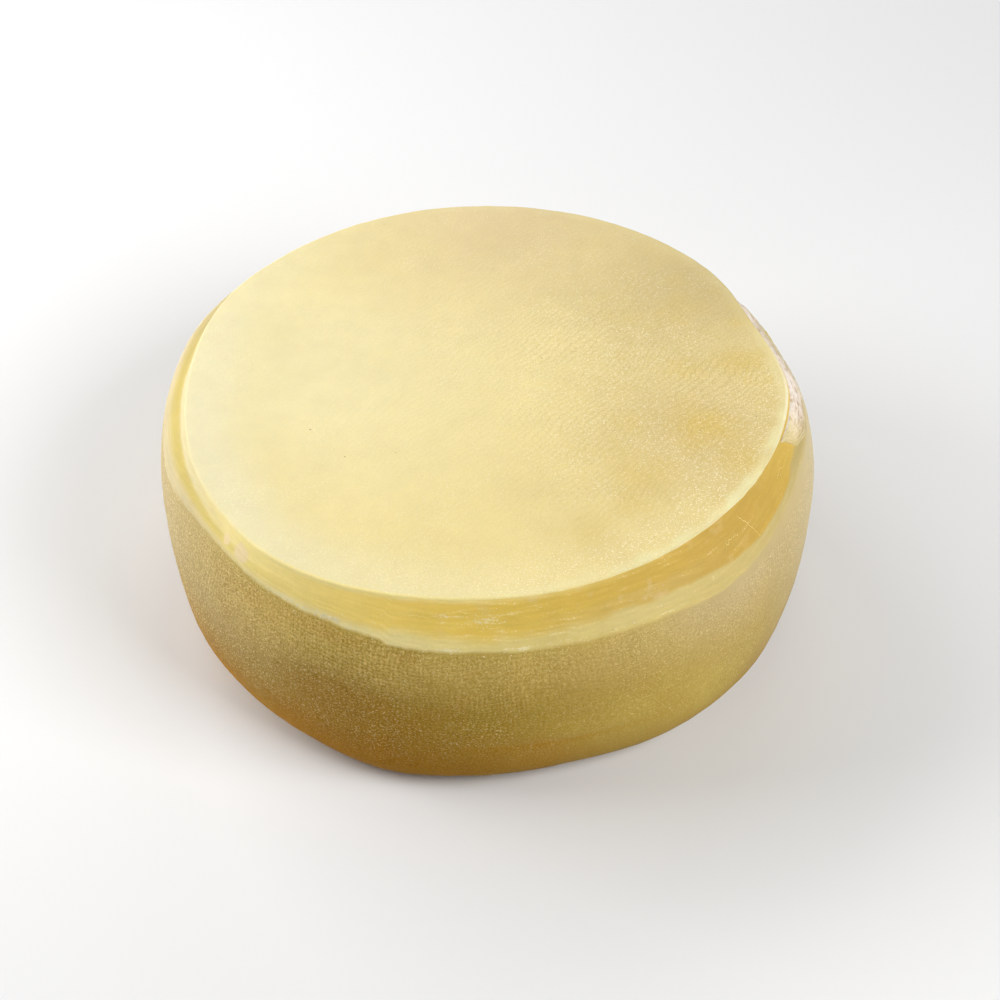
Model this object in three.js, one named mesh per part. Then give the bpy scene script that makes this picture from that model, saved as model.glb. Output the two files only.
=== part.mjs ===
// A whole wheel of hard cheese, pressed in a cloth-lined mould, with a knife-trimmed band round the top edge.
// Millimetres, +Z up. The wheel stands on its flat base at z = 0.
// Azimuths are in degrees about +Z, counted from +X towards +Y, so the front is at 270.

import * as THREE from 'three';

// Size of the whole
const WHEEL_RADIUS = 150;
const WHEEL_HEIGHT = 110;

// Side: a belly that draws in towards the base and towards the shoulder
const BELLY_HEIGHT = 60;
const SHOULDER_HEIGHT = 98;
const BASE_DRAW_IN = 8.2;
const BASE_DRAW_IN_POWER = 2.5;
const SHOULDER_DRAW_IN = 6.6;
const BASE_ROUND = 14;

// Trimmed band: from the rim on the side over a crowned shoulder to a groove, then up a steep cut
const TOP_EDGE_RADIUS = 134;
const RIM_HEIGHT = 90.5;
const GROOVE_OUT = 3.6;
const GROOVE_DEPTH = 10.5;
const SHOULDER_CROWN = 0.4;

// Colour of the pale rind
const CHEESE_COLOUR = 0xe8cf86;

// Resolution of the surface
const SEGMENTS = 96;
const BASE_ROUND_RINGS = 5;
const SIDE_RINGS = 9;
const SHOULDER_RINGS = 4;
const CUT_RINGS = 2;

// Slow swells and hollows of the hand-made shape. Each is centred on an azimuth and fades with its spread.
const TOP_EDGE_SWELLS = [
  { azimuth: 232, spread: 20, amount: 6.8 },
  { azimuth: 312, spread: 18, amount: -2.8 },
  { azimuth: 358, spread: 6, amount: 1.2 },
  { azimuth: 20, spread: 9, amount: -4.0 },
  { azimuth: 154, spread: 11, amount: 2.3 },
  { azimuth: 172, spread: 14, amount: -1.4 },
];
const RIM_HEIGHT_SWELLS = [
  { azimuth: 150, spread: 17, amount: 6.0 },
  { azimuth: 191, spread: 8, amount: -5.0 },
  { azimuth: 216, spread: 13, amount: 7.2 },
  { azimuth: 243, spread: 8, amount: 2.0 },
  { azimuth: 262, spread: 9, amount: -0.4 },
  { azimuth: 286, spread: 12, amount: 1.4 },
  { azimuth: 316, spread: 8, amount: -3.5 },
  { azimuth: 350, spread: 16, amount: 8.5 },
];
const GROOVE_OUT_SWELLS = [
  { azimuth: 190, spread: 40, amount: -1.2 },
  { azimuth: 335, spread: 18, amount: 3.0 },
];
const GROOVE_DEPTH_SWELLS = [
  { azimuth: 190, spread: 45, amount: -4.0 },
  { azimuth: 335, spread: 18, amount: -2.0 },
];
const SHOULDER_CROWN_SWELLS = [
  { azimuth: 165, spread: 40, amount: 1.4 },
];
const WHOLE_SIDE_SWELLS = [
  { azimuth: 155, spread: 16, amount: 2.4 },
  { azimuth: 190, spread: 16, amount: -1.9 },
];
const LOW_SIDE_SWELLS = [
  { azimuth: 226, spread: 13, amount: -1.1 },
  { azimuth: 252, spread: 7, amount: 2.1 },
  { azimuth: 285, spread: 11, amount: -3.0 },
  { azimuth: 318, spread: 14, amount: 0.5 },
];
const HIGH_SIDE_SWELLS = [
  { azimuth: 14, spread: 8, amount: -2.7 },
];

// Smallest turn from one azimuth to another, between -180 and 180 degrees
function turnBetween(from, to) {
  return THREE.MathUtils.euclideanModulo(to - from + 180, 360) - 180;
}

// Sum of a list of swells at one azimuth
function swell(list, azimuth) {
  let sum = 0;
  for (const { azimuth: centre, spread, amount } of list) {
    const turn = turnBetween(centre, azimuth) / spread;
    sum += amount * Math.exp(-0.5 * turn * turn);
  }
  return sum;
}

// Radius of the side at an azimuth and a height
function sideRadius(azimuth, height) {
  const below = Math.max(BELLY_HEIGHT - height, 0) / BELLY_HEIGHT;
  const above = Math.max(height - BELLY_HEIGHT, 0) / (SHOULDER_HEIGHT - BELLY_HEIGHT);
  const inRound = 1 - Math.min(height / BASE_ROUND, 1);
  const roundLoss = BASE_ROUND * (1 - Math.sqrt(1 - inRound * inRound));
  const drawIn = BASE_DRAW_IN * below ** BASE_DRAW_IN_POWER + SHOULDER_DRAW_IN * above * above;
  const low = THREE.MathUtils.smoothstep(below, 0, 1);
  const high = THREE.MathUtils.smoothstep(above, 0, 1);
  return WHEEL_RADIUS - drawIn - roundLoss
    + swell(WHOLE_SIDE_SWELLS, azimuth)
    + low * swell(LOW_SIDE_SWELLS, azimuth)
    + high * swell(HIGH_SIDE_SWELLS, azimuth);
}

// Section of the wheel at one azimuth: radius and height pairs from the base up to the top edge
function section(azimuth) {
  const rimHeight = RIM_HEIGHT + swell(RIM_HEIGHT_SWELLS, azimuth);
  const rimRadius = sideRadius(azimuth, rimHeight);
  const edgeRadius = TOP_EDGE_RADIUS + swell(TOP_EDGE_SWELLS, azimuth);
  const grooveRadius = edgeRadius + GROOVE_OUT + swell(GROOVE_OUT_SWELLS, azimuth);
  const grooveHeight = WHEEL_HEIGHT - GROOVE_DEPTH - swell(GROOVE_DEPTH_SWELLS, azimuth);
  const crown = SHOULDER_CROWN + swell(SHOULDER_CROWN_SWELLS, azimuth);
  const points = [];
  for (let step = 0; step < BASE_ROUND_RINGS; step += 1) {
    const height = BASE_ROUND * (1 - Math.cos((step / BASE_ROUND_RINGS) * (Math.PI / 2)));
    points.push([sideRadius(azimuth, height), height]);
  }
  for (let step = 0; step < SIDE_RINGS; step += 1) {
    const height = THREE.MathUtils.lerp(BASE_ROUND, rimHeight, step / SIDE_RINGS);
    points.push([sideRadius(azimuth, height), height]);
  }
  // The shoulder is a straight line from rim to groove, raised along its normal into a crown
  const run = grooveRadius - rimRadius;
  const rise = grooveHeight - rimHeight;
  const slant = Math.hypot(run, rise);
  for (let step = 0; step < SHOULDER_RINGS; step += 1) {
    const along = step / SHOULDER_RINGS;
    const raised = crown * Math.sin(Math.PI * along);
    points.push([
      rimRadius + run * along + (raised * rise) / slant,
      rimHeight + rise * along - (raised * run) / slant,
    ]);
  }
  for (let step = 0; step <= CUT_RINGS; step += 1) {
    const along = step / CUT_RINGS;
    points.push([
      THREE.MathUtils.lerp(grooveRadius, edgeRadius, along),
      THREE.MathUtils.lerp(grooveHeight, WHEEL_HEIGHT, along),
    ]);
  }
  return points;
}

// The lathe gives the closed skin of rings, and each of its points then takes its own azimuth's section
function wheelGeometry() {
  const firstSection = section(0);
  const profile = [
    new THREE.Vector2(0, 0),
    ...firstSection.map(([radius, height]) => new THREE.Vector2(radius, height)),
    new THREE.Vector2(0, WHEEL_HEIGHT),
  ];
  const geometry = new THREE.LatheGeometry(profile, SEGMENTS);
  const { position, uv } = geometry.attributes;
  const lastRing = profile.length - 1;
  for (let index = 0; index < position.count; index += 1) {
    const turn = Math.round(uv.getX(index) * SEGMENTS) % SEGMENTS;
    const ring = Math.round(uv.getY(index) * lastRing);
    const azimuth = (turn * 360) / SEGMENTS;
    const angle = THREE.MathUtils.degToRad(azimuth);
    let radius = 0;
    let height = profile[ring].y;
    if (ring > 0 && ring < lastRing) {
      [radius, height] = section(azimuth)[ring - 1];
    }
    position.setXYZ(index, radius * Math.cos(angle), radius * Math.sin(angle), height);
  }
  centreOnOutline(geometry);
  return geometry;
}

// The swells shift the outline off its axis a little, so the wheel is centred on its own outline
function centreOnOutline(geometry) {
  geometry.computeBoundingBox();
  const middle = geometry.boundingBox.getCenter(new THREE.Vector3());
  geometry.translate(-middle.x, -middle.y, 0);
  geometry.computeVertexNormals();
}

const cheese = new THREE.MeshStandardMaterial({ color: CHEESE_COLOUR, roughness: 0.6, metalness: 0 });
const wheel = new THREE.Mesh(wheelGeometry(), cheese);
wheel.name = 'cheese_wheel';

const part = new THREE.Group();
part.name = 'whole_cheese_wheel';
part.add(wheel);

export default part;
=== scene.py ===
"""A whole wheel of pale hard cheese: a cloth-marked top and side, and a knife-trimmed band round the edge."""

import math

import bmesh
import bpy
import numpy as np
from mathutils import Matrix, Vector


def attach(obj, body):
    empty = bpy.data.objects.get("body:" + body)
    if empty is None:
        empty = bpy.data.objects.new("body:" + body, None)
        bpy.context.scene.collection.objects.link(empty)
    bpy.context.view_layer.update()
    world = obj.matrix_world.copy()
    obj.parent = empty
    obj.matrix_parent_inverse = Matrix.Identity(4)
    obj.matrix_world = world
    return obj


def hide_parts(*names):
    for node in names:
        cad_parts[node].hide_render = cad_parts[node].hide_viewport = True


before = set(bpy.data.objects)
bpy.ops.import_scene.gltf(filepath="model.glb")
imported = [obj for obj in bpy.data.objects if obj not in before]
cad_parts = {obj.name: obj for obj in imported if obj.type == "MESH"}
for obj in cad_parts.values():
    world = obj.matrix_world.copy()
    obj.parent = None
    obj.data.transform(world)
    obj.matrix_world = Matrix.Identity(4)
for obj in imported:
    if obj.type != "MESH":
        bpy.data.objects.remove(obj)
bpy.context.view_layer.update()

SEED = 41
MM = 0.001

# Size of the whole, in millimetres
WHEEL_RADIUS = 150
WHEEL_HEIGHT = 110

# Side
BELLY_HEIGHT = 60
SHOULDER_HEIGHT = 98
BASE_DRAW_IN = 8.2
BASE_DRAW_IN_POWER = 2.5
SHOULDER_DRAW_IN = 6.6
BASE_ROUND = 14

# Trimmed band: from the rim on the side over a crowned shoulder to a groove, then up a steep cut
TOP_EDGE_RADIUS = 134
RIM_HEIGHT = 90.5
GROOVE_OUT = 3.6
GROOVE_DEPTH = 10.5
SHOULDER_CROWN = 0.4
EDGE_FILLET = 0.8
GROOVE_SOFTENING = 10

# Slow swells and hollows: azimuth in degrees from +X towards +Y, spread in degrees, amount in millimetres
TOP_EDGE_SWELLS = (
    (232, 20, 6.8),
    (312, 18, -2.8),
    (358, 6, 1.2),
    (20, 9, -4),
    (154, 11, 2.3),
    (172, 14, -1.4),
)
RIM_HEIGHT_SWELLS = (
    (150, 17, 6),
    (191, 8, -5),
    (216, 13, 7.2),
    (243, 8, 2),
    (262, 9, -0.4),
    (286, 12, 1.4),
    (316, 8, -3.5),
    (350, 16, 8.5),
)
GROOVE_OUT_SWELLS = ((190, 40, -1.2), (335, 18, 3))
GROOVE_DEPTH_SWELLS = ((190, 45, -4), (335, 18, -2))
SHOULDER_CROWN_SWELLS = ((165, 40, 1.4),)
WHOLE_SIDE_SWELLS = ((155, 16, 2.4), (190, 16, -1.9))
LOW_SIDE_SWELLS = ((226, 13, -1.1), (252, 7, 2.1), (285, 11, -3), (318, 14, 0.5))
HIGH_SIDE_SWELLS = ((14, 8, -2.7),)

# Resolution of the skin
COLUMNS = 800
BASE_RING_SHARES = (0.35, 0.7, 0.9)
ROUND_RINGS = 9
SIDE_RINGS = 42
SHOULDER_RINGS = 20
CUT_RINGS = 14
FILLET_RINGS = 3
MARGIN_STEPS = (0.9, 1.8, 3, 4.4, 6.2, 8.5, 12, 16)
TOP_RINGS = 16

# Cloth fold down the front of the side, and the crease over the smooth foot strip
FOLD_AZIMUTH = 252.6
FOLD_WIDTH = 0.9
FOLD_HEIGHT = 1.1
CREASE_HEIGHT = 33
CREASE_AZIMUTH = 281
CREASE_SPREAD = 13
CREASE_DEPTH = 0.5

# Relief in millimetres: lumps of the side, waves and knife streaks of the band, waves and margin of the top
SIDE_LUMP_HEIGHT = 0.42
SIDE_LUMP_WIDTH = 46
NOISE_LAYERS = 3
LAYER_FADE = 0.45
BAND_WAVE_HEIGHT = 0.28
BAND_WAVE_WIDTH = 24
STREAK_HEIGHT = 0.07
STREAK_WIDTH = 1.5
TOP_WAVE_HEIGHT = 0.2
TOP_WAVE_WIDTH = 60
MARGIN_DROP = 0.1

# Cloth imprint
SIDE_PITCH = 2.2
TOP_PITCH = 2.7
TOP_CLOTH_TURN = 48

# Height down to which the cut shows its golden inside
GOLD_LOW = 96.6
GOLD_LOW_SWELLS = ((205, 20, 1), (265, 10, -0.9), (320, 7, -2.6), (346, 9, 5))

# Fine grain, and bloom with painted glints, of the side, and where they are stronger or weaker
SIDE_GRIT = 0.63
SIDE_GRIT_SWELLS = ((193, 18, -0.25), (236, 22, 0.58), (305, 16, -0.2))
SIDE_BLOOM_AND_GLINT = 0.34
SIDE_BLOOM_AND_GLINT_SWELLS = ((205, 26, 0.46), (330, 24, 0.1))

# Pale bruises on the band at the front left: azimuth, height and size
BRUISES = ((225.3, 103, 4.6), (221.2, 103.6, 2.4))

# Stretches of azimuth where the looks differ: middle and spread in degrees
SMOOTH_LIP = (335, 20)
PALE_MARGIN = (200, 42)
FRONT_RIGHT = (325, 26)
HIGHLIT_EDGE = (356, 9)
FRONT_LEFT = (250, 24)
PATCHY_SIDE = (264, 28)
GOLD_UNDER_RIM = (252, 24)
BROWN_UNDER_RIM = (243, 9)
BEIGE_BAND = (342, 27)
PAINTED_LIGHT_BAND = (243, 18)
CREAM_BAND = (226, 17)
DEEP_BAND = (322, 25)
BLOTCHED_BAND = (292, 18)
DIM_BAND = (287, 14)
GROOVED_BAND = (168, 34)
PALE_GROOVE = (146, 14)
BARE_STRIP = (338, 15)
CLEAR_THREADS = (249, 11)
FAINT_THREADS = (268, 17)
CHALKY_RIM = (258, 22)
CRUMBLY_RIM = (242, 8)
CHALK_STREAK = (264, 8)
SCRAPED_SPOT = (271, 2)
FAINT_CHALK = (275, 22)
FAINT_BLOOM_AND_GLINT_BACK = (85, 50)
SPARKLING_EDGE = (290, 45)


def smooth(low, high, value):
    """Smooth step from 0 at low to 1 at high."""
    share = np.clip((value - low) / (high - low), 0, 1)
    return share * share * (3 - 2 * share)


def turn_between(start, end):
    """Smallest turn from one azimuth to another, in degrees."""
    return (end - start + 180) % 360 - 180


def near(value, centre, spread):
    """Bell from 1 at the centre to 0 a few spreads away."""
    return np.exp(-0.5 * ((value - centre) / spread) ** 2)


def near_azimuth(azimuth, centre, spread):
    """The same bell, for azimuths in degrees."""
    return near(turn_between(centre, azimuth), 0, spread)


def unit(vectors):
    """The same directions with length 1."""
    return vectors / np.maximum(np.linalg.norm(vectors, axis=-1, keepdims=True), 1e-9)


def swell(swells, azimuth):
    """Sum of a list of swells at each azimuth."""
    total = np.zeros_like(azimuth)
    for centre, spread, amount in swells:
        total = total + amount * near_azimuth(azimuth, centre, spread)
    return total


def blend(share, first, second):
    """Colours between two colours, for shares from 0 to 1."""
    share = np.clip(share, 0, 1)[..., None]
    return np.asarray(first) * (1 - share) + np.asarray(second) * share


def lattice_value(cells, seed):
    """A repeatable random number from -1 to 1 for each whole-numbered cell, by integer hashing."""
    mixed = (
        cells[..., 0].astype(np.int64) * 73856093
        ^ cells[..., 1].astype(np.int64) * 19349663
        ^ cells[..., 2].astype(np.int64) * 83492791
        ^ np.int64(seed * 2654435 + 977)
    )
    mixed = (mixed ^ (mixed >> 13)) & 0x7FFFFFFF
    mixed = (mixed * (mixed * mixed * 15731 % 2147483647 + 789221) + 1376312589) & 0x7FFFFFFF
    return mixed / 1073741823.5 - 1


def value_noise(points, wavelength, seed):
    """Smooth noise from -1 to 1 at points in millimetres."""
    scaled = points / wavelength
    cell = np.floor(scaled)
    share = scaled - cell
    share = share * share * share * (share * (share * 6 - 15) + 10)
    total = np.zeros(points.shape[:-1])
    for corner in np.ndindex(2, 2, 2):
        weight = np.abs(1 - np.array(corner) - share).prod(-1)
        total += weight * lattice_value(cell + corner, seed)
    return total


def layered_noise(points, wavelength, seed):
    """Sum of value noise at halving wavelengths and fading strengths."""
    total = np.zeros(points.shape[:-1])
    for layer in range(NOISE_LAYERS):
        noise = value_noise(points, wavelength / 2**layer, seed + 17 * layer)
        total += LAYER_FADE**layer * noise
    return total


def ridged_noise(points, wavelength, seed):
    """Noise whose tops are sharp ridges, from -1 to 1."""
    return 1 - 2 * np.abs(value_noise(points, wavelength, seed))


def on_ring(azimuth, radius, third):
    """Points on a ring, so that noise taken there joins up all the way round."""
    angle = np.radians(azimuth)
    return np.stack((radius * np.cos(angle), radius * np.sin(angle), third + 0 * angle), -1)


def side_radius(azimuth, height):
    """Radius of the side at an azimuth and a height."""
    below = np.maximum(BELLY_HEIGHT - height, 0) / BELLY_HEIGHT
    above = np.maximum(height - BELLY_HEIGHT, 0) / (SHOULDER_HEIGHT - BELLY_HEIGHT)
    in_round = 1 - np.minimum(height / BASE_ROUND, 1)
    round_loss = BASE_ROUND * (1 - np.sqrt(1 - in_round * in_round))
    draw_in = BASE_DRAW_IN * below**BASE_DRAW_IN_POWER + SHOULDER_DRAW_IN * above * above
    return (
        WHEEL_RADIUS
        - draw_in
        - round_loss
        + swell(WHOLE_SIDE_SWELLS, azimuth)
        + smooth(0, 1, below) * swell(LOW_SIDE_SWELLS, azimuth)
        + smooth(0, 1, above) * swell(HIGH_SIDE_SWELLS, azimuth)
    )


def rim_height(azimuth):
    """Uneven run of the band's lower edge: slow waves, small nicks and one step at the fold."""
    ring = on_ring(azimuth, WHEEL_RADIUS, 0)
    waves = 0.5 * value_noise(ring, 21, 3)
    waves = waves + 0.35 * value_noise(ring, 6.5, 5) + 0.2 * value_noise(ring, 2.7, 7)
    past = turn_between(FOLD_AZIMUTH + 1.4, azimuth)
    step = np.where(past < 0, 1.1, -0.5) * np.exp(-np.abs(past) / 7) * smooth(0, 0.6, np.abs(past))
    return RIM_HEIGHT + swell(RIM_HEIGHT_SWELLS, azimuth) + waves + step


def edge_radius(azimuth):
    """Uneven run of the top's crisp edge."""
    ring = on_ring(azimuth, WHEEL_RADIUS, 0)
    return (
        TOP_EDGE_RADIUS
        + swell(TOP_EDGE_SWELLS, azimuth)
        + 0.35 * value_noise(ring, 30, 11)
        + 0.14 * value_noise(ring, 5, 12)
    )


def base_and_side_rows(azimuth, rim):
    """Radius and height rows from near the base's middle out to its round and up to the rim."""
    flat = np.zeros_like(azimuth)
    rows = [(side_radius(azimuth, flat) * share, flat) for share in BASE_RING_SHARES]
    for step in range(ROUND_RINGS):
        height = flat + BASE_ROUND * (1 - math.cos(step / ROUND_RINGS * math.pi / 2))
        rows.append((side_radius(azimuth, height), height))
    for step in range(SIDE_RINGS):
        height = BASE_ROUND + (rim - BASE_ROUND) * step / SIDE_RINGS
        rows.append((side_radius(azimuth, height), height))
    return rows


def band_rows(azimuth, rim, edge):
    """Radius and height rows from the rim over the shoulder and the groove to just under the crisp edge."""
    rim_radius = side_radius(azimuth, rim)
    groove_radius = edge + GROOVE_OUT + swell(GROOVE_OUT_SWELLS, azimuth)
    groove_height = WHEEL_HEIGHT - GROOVE_DEPTH - swell(GROOVE_DEPTH_SWELLS, azimuth)
    crown = SHOULDER_CROWN + swell(SHOULDER_CROWN_SWELLS, azimuth)
    run = groove_radius - rim_radius
    rise = groove_height - rim
    slant = np.hypot(run, rise)
    rows = []
    for step in range(SHOULDER_RINGS):
        along = step / SHOULDER_RINGS
        raised = crown * math.sin(math.pi * along) / slant
        rows.append((rim_radius + run * along + raised * rise, rim + rise * along - raised * run))
    cut_run = edge - groove_radius
    cut_rise = WHEEL_HEIGHT - EDGE_FILLET - groove_height
    for step in range(CUT_RINGS + 1):
        along = step / CUT_RINGS
        rows.append((groove_radius + cut_run * along, groove_height + cut_rise * along))
    section = np.array(rows)
    for _ in range(GROOVE_SOFTENING):
        section[1:-1] = 0.25 * section[:-2] + 0.5 * section[1:-1] + 0.25 * section[2:]
    return list(section)


def top_rows(edge):
    """Radius and height rows round the edge's small fillet and in over the flat top, and how far in."""
    flat = np.zeros_like(edge)
    rows = []
    inward = []
    for step in range(FILLET_RINGS):
        turn = (step + 1) / FILLET_RINGS * math.pi / 2
        height = WHEEL_HEIGHT - EDGE_FILLET * (1 - math.sin(turn))
        rows.append((edge - EDGE_FILLET * (1 - math.cos(turn)), flat + height))
        inward.append(0)
    for step in MARGIN_STEPS:
        rows.append((edge - EDGE_FILLET - step, flat + WHEEL_HEIGHT))
        inward.append(step)
    inner = edge - EDGE_FILLET - MARGIN_STEPS[-1]
    for step in range(1, TOP_RINGS):
        rows.append((inner * (1 - step / TOP_RINGS), flat + WHEEL_HEIGHT))
        inward.append(MARGIN_STEPS[-1] + TOP_EDGE_RADIUS * step / TOP_RINGS)
    return rows, inward


class Skin:
    """The wheel's skin as rows that go up it and columns that go round it, in millimetres."""

    def __init__(self):
        azimuth = np.arange(COLUMNS) * 360 / COLUMNS
        rim = rim_height(azimuth)
        edge = edge_radius(azimuth)
        side = base_and_side_rows(azimuth, rim)
        band = band_rows(azimuth, rim, edge)
        top, inward = top_rows(edge)
        self.rim_row = len(side)
        self.edge_row = len(side) + len(band)
        rows = np.array(side + band + top)
        angle = np.radians(azimuth)
        self.points = np.stack((rows[:, 0] * np.cos(angle), rows[:, 0] * np.sin(angle), rows[:, 1]), -1)
        self.azimuth = np.broadcast_to(azimuth, rows[:, 0].shape)
        row = np.arange(len(rows))[:, None] + 0 * self.azimuth
        self.is_side = (row < self.rim_row).astype(float)
        self.is_band = ((row >= self.rim_row) & (row < self.edge_row)).astype(float)
        self.is_top = (row >= self.edge_row).astype(float)
        self.inward = np.concatenate((np.zeros(self.edge_row), inward))[:, None] + 0 * self.azimuth
        self.below_rim = np.maximum(rim - self.points[..., 2], 0) * self.is_side
        shoulder = np.minimum((row - self.rim_row) / SHOULDER_RINGS, 1)
        cut = np.maximum((row - self.rim_row - SHOULDER_RINGS) / CUT_RINGS, 0)
        self.share = (shoulder + cut) * self.is_band
        step = np.linalg.norm(np.diff(self.points, axis=0), axis=-1)
        self.across = np.concatenate((np.zeros((1, COLUMNS)), np.cumsum(step, axis=0)))
        self.across -= self.across[self.rim_row]

    def normals(self):
        """Outward unit normals."""
        round_it = np.roll(self.points, -1, axis=1) - np.roll(self.points, 1, axis=1)
        up_it = np.gradient(self.points, axis=0)
        return unit(np.cross(round_it, up_it))

    def centre(self):
        """Move the skin so that its outline is centred, and give the shift."""
        flat = self.points[..., :2].reshape(-1, 2)
        middle = (flat.max(0) + flat.min(0)) / 2
        self.points[..., :2] -= middle
        return middle

    def around(self, centre, spread):
        """Bell round an azimuth, for each point."""
        return near_azimuth(self.azimuth, centre, spread)

    def noise(self, wavelength, seed):
        """Smooth noise from -1 to 1, for each point."""
        return value_noise(self.points, wavelength, seed)

    def sample(self, values, azimuth, row):
        """Values of a grid between its rows and columns."""
        column = azimuth % 360 * COLUMNS / 360
        left = np.floor(column).astype(int)
        low = np.clip(np.floor(row).astype(int), 0, len(values) - 2)
        across = (column - left)[..., None]
        up = (row - low)[..., None]
        left = left % COLUMNS
        right = (left + 1) % COLUMNS
        lower = values[low, left] * (1 - across) + values[low, right] * across
        upper = values[low + 1, left] * (1 - across) + values[low + 1, right] * across
        return lower * (1 - up) + upper * up

    def band_row(self, share):
        """Row of a share of the band: 0 at the rim, 1 at the groove, 2 at the edge, below 0 on the side."""
        on_shoulder = np.minimum(share, 1) * SHOULDER_RINGS
        on_cut = np.maximum(share - 1, 0) * CUT_RINGS
        return self.rim_row + on_shoulder + on_cut


def side_relief(skin):
    """Lumps of the side, the fold of the cloth and the crease over the foot strip."""
    height = skin.points[..., 2]
    relief = SIDE_LUMP_HEIGHT * layered_noise(skin.points, SIDE_LUMP_WIDTH, 21) + 0.1 * skin.noise(5, 23)
    lean = FOLD_AZIMUTH + 0.9 * (height - BELLY_HEIGHT) / BELLY_HEIGHT + 0.25 * skin.noise(26, 29)
    past = turn_between(lean, skin.azimuth)
    ridge = near(past, 0, FOLD_WIDTH)
    gutter = near(past, 2.4 * FOLD_WIDTH, 1.3 * FOLD_WIDTH)
    strength = 0.35 + 0.65 * smooth(64, 12, height) + 0.35 * smooth(76, 90, height)
    relief += FOLD_HEIGHT * strength * smooth(3, 22, height) * (0.8 * ridge - 0.5 * gutter)
    crease_height = CREASE_HEIGHT + 1.2 * skin.noise(30, 31)
    crease = near(height, crease_height, 1.3) * skin.around(CREASE_AZIMUTH, CREASE_SPREAD)
    relief -= CREASE_DEPTH * crease
    return relief * smooth(0, 3, skin.below_rim) * smooth(0, 6, height)


def band_relief(skin):
    """Knife streaks along the cut, its slow waves and the crumbly lip at its lower edge."""
    streaks = on_ring(skin.azimuth, 11, skin.across)
    relief = STREAK_HEIGHT * value_noise(streaks, STREAK_WIDTH, 41) + 0.05 * value_noise(streaks, 0.8, 43)
    relief += BAND_WAVE_HEIGHT * skin.noise(BAND_WAVE_WIDTH, 45)
    lip = near(skin.share, 0.03, 0.045) * (1 - 0.7 * skin.around(*SMOOTH_LIP))
    relief += lip * (0.12 + 0.34 * skin.noise(5, 47) + 0.26 * skin.noise(2.2, 49))
    return relief * smooth(2, 1.8, skin.share)


def top_relief(skin):
    """Faint waves of the top and its slightly lowered margin."""
    flat = skin.points * np.array((1, 1, 0))
    waves = TOP_WAVE_HEIGHT * value_noise(flat, TOP_WAVE_WIDTH, 61) + 0.07 * value_noise(flat, 17, 63)
    return waves * smooth(0, 8, skin.inward) - MARGIN_DROP * smooth(4.5, 0, skin.inward)


def shape_skin(skin):
    """Raise the relief out of the smooth skin."""
    relief = skin.is_side * side_relief(skin) + skin.is_band * band_relief(skin)
    skin.points = skin.points + skin.normals() * relief[..., None]
    skin.points[..., 2] += skin.is_top * top_relief(skin)
    skin.points[..., 2] = np.maximum(skin.points[..., 2], 0)


# Colours, linear
TOP_CREAM = (0.78, 0.645, 0.285)
TOP_LEFT = (0.79, 0.695, 0.39)
TOP_PINK = (0.68, 0.54, 0.295)
TOP_GREY = (0.55, 0.43, 0.205)
TOP_BEIGE = (0.605, 0.465, 0.21)
TOP_HONEY = (0.64, 0.465, 0.13)
TOP_MARGIN = (0.78, 0.72, 0.4)
TOP_PALE = (0.77, 0.715, 0.48)
TOP_GLINT = (0.98, 0.92, 0.7)
SIDE_UPPER = (0.545, 0.388, 0.101)
SIDE_MIDDLE = (0.345, 0.207, 0.021)
# Foot tone: partly the rind's own deeper brown, partly painted shade.
SIDE_FOOT_AND_SHADE = (0.27, 0.127, 0.003)
# Brown: the rind's own brown patches, also used for painted shade in the crease and painted reflection low at
# the front left.
SIDE_BROWN_AND_PAINTED_LIGHT = (0.37, 0.155, 0.004)
# Beige: partly the rind's own paler tone, partly painted sheen where the side turns away near its edges.
SIDE_BEIGE_AND_SHEEN = (0.49, 0.385, 0.205)
# Painted sheen: a whitish tone for the side's grazing sheen.
SIDE_PAINTED_SHEEN = (0.73, 0.66, 0.47)
# Amber: partly the foot's own warm tone, partly painted reflection of warm light from below.
SIDE_AMBER_AND_REFLECTION = (0.65, 0.32, 0.01)
SIDE_OLIVE = (0.4, 0.3, 0.05)
SIDE_GOLD = (0.5, 0.37, 0.078)
# Painted light: a lighter tan for the side where the lamps leave it too dark.
SIDE_TAN_PAINTED_LIGHT = (0.7, 0.495, 0.12)
# Whitish flecks: the rind's real bloom, also painted glints.
BLOOM_AND_GLINT = (0.86, 0.73, 0.35)
BAND_GOLD = (0.85, 0.6, 0.115)
BAND_DEEP = (0.54, 0.35, 0.075)
# Cream: the cut's own pale tone, pushed lighter as painted light at the front left; also the scars' tone.
BAND_CREAM_AND_PAINTED_LIGHT = (0.93, 0.76, 0.27)
BAND_PALE = (0.67, 0.535, 0.18)
# Light pale: partly the cut's own pale tone, partly painted light at the front left.
BAND_PALE_AND_PAINTED_LIGHT = (0.92, 0.79, 0.36)
BAND_BEIGE = (0.52, 0.405, 0.165)
BAND_OUTER = (0.6, 0.49, 0.25)
BAND_WALL = (0.69, 0.59, 0.31)
# Painted shade: a darker orange for the shade and warm bounce in the groove's hollow.
GROOVE_PAINTED_SHADE = (0.6, 0.47, 0.13)
CHALK = (0.86, 0.76, 0.46)
EDGE_LINE = (0.84, 0.71, 0.3)
BRUISE_PINK = (0.83, 0.66, 0.38)
GAP_SHADE = (0.72, 0.62, 0.44)
PIT_SHADE = (0.74, 0.69, 0.62)
# Rind crests and hollows: the dry skin's own whitish and deeper tones, with painted highlight on the crests
# and painted shade in the hollows.
RIND_WHITE_AND_HIGHLIGHT = (0.94, 0.82, 0.72)
RIND_DEEP_AND_SHADE = (0.62, 0.46, 0.3)
RIND_BEIGE = (0.62, 0.5, 0.28)

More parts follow.
